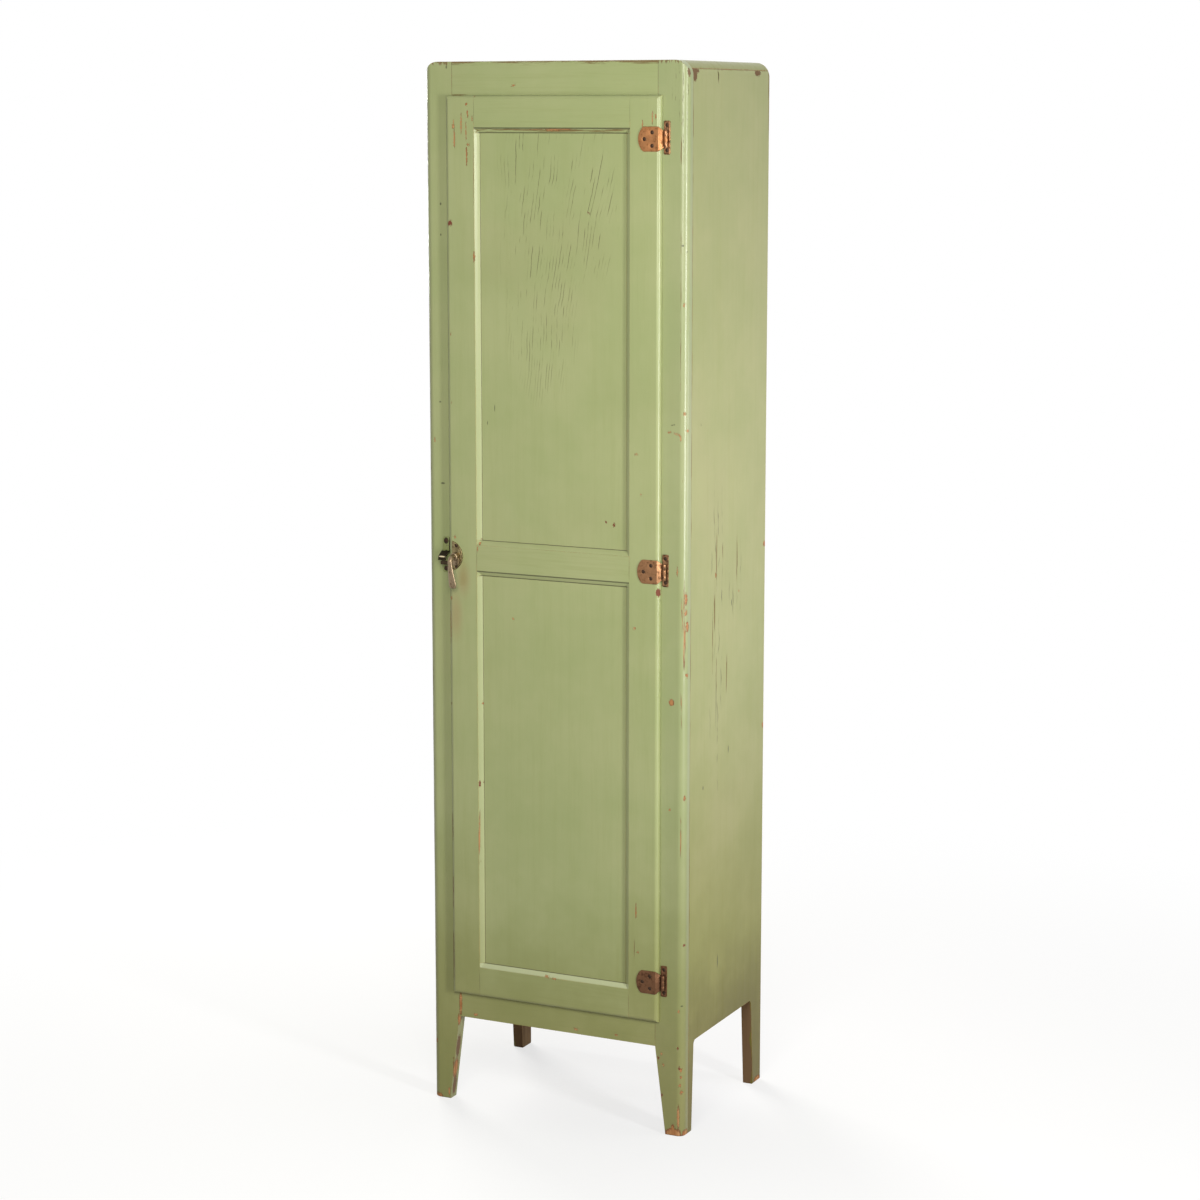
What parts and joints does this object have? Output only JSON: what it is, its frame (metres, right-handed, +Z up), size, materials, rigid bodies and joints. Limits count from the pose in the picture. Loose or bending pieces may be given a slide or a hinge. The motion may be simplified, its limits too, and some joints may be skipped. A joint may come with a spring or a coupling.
{
  "type": "chimney cabinet",
  "caption": "Tall narrow painted wooden cupboard on tapered legs, with a lipped panel door on offset hinges, a drop-lever latch and shelves inside.",
  "frame": {"origin": "on the floor, at the middle of the overall box", "axes": "+X to the right as one faces the door, +Y to the back, +Z up"},
  "size_m": [0.49, 0.3804, 1.829],
  "materials": {
    "green_paint": "old satin sage green paint on wood, chipped and worn through to orange-brown wood at edges and feet",
    "bare_wood": "unpainted aged softwood with visible grain",
    "screw_steel": "dark oxidised slotted screws and nails",
    "bright_copper": "copper plate, polished by use",
    "dull_copper": "copper plate, dulled and stained",
    "brown_copper": "copper plate, darkened to brown",
    "latch_bronze": "worn bronze-coloured casting, bright along the handle",
    "keeper_bronze": "dark pressed metal with paint on its plate"
  },
  "bodies": {
    "case": {"back_board_1": "bare_wood", "back_board_2": "bare_wood", "back_board_3": "bare_wood", "back_nails": "screw_steel", "cleat_floor_left": "bare_wood", "cleat_floor_right": "bare_wood", "cleat_screws": "screw_steel", "cleat_shelf_1_left": "bare_wood", "cleat_shelf_1_right": "bare_wood", "cleat_shelf_2_left": "bare_wood", "cleat_shelf_2_right": "bare_wood", "cleat_shelf_3_left": "bare_wood", "cleat_shelf_3_right": "bare_wood", "cleat_shelf_4_left": "bare_wood", "cleat_shelf_4_right": "bare_wood", "cleat_top_left": "bare_wood", "cleat_top_right": "bare_wood", "floor_board": "bare_wood", "frame_dowels": "bare_wood", "front_rail_bottom": "green_paint", "front_rail_top": "green_paint", "front_stile_left": "green_paint", "front_stile_right": "green_paint", "hinge_frame_leaf_bottom": "brown_copper", "hinge_frame_leaf_middle": "dull_copper", "hinge_frame_leaf_top": "bright_copper", "hinge_frame_screws": "screw_steel", "hinge_pin_bottom": "brown_copper", "hinge_pin_middle": "dull_copper", "hinge_pin_top": "bright_copper", "latch_keeper": "keeper_bronze", "latch_keeper_screws": "screw_steel", "shelf_1": "bare_wood", "shelf_2": "bare_wood", "shelf_3": "bare_wood", "shelf_4": "bare_wood", "side_board_left": "green_paint", "side_board_right": "green_paint", "top_board": "green_paint", "top_screws": "screw_steel"},
    "door": {"door_panel_lower": "green_paint", "door_panel_upper": "green_paint", "door_rail_bottom": "green_paint", "door_rail_middle": "green_paint", "door_rail_top": "green_paint", "door_stile_left": "green_paint", "door_stile_right": "green_paint", "hinge_door_leaf_bottom": "brown_copper", "hinge_door_leaf_middle": "dull_copper", "hinge_door_leaf_top": "bright_copper", "hinge_door_screws": "screw_steel", "latch_plate": "latch_bronze", "latch_plate_screws": "screw_steel", "latch_spindle": "latch_bronze", "latch_washer": "latch_bronze"},
    "lever": {"latch_lever": "latch_bronze"}
  },
  "joints": [
    {"name": "door_swing", "type": "hinge", "parent": "case", "child": "door", "pos_m": [0.2085, -0.15785, 0.9855], "axis": [0, 0, 1], "range_deg": [0, 150]},
    {"name": "latch_turn", "type": "hinge", "parent": "door", "child": "lever", "pos_m": [-0.1845, -0.167, 0.988], "axis": [0, -1, 0], "range_deg": [-8, 75]}
  ]
}
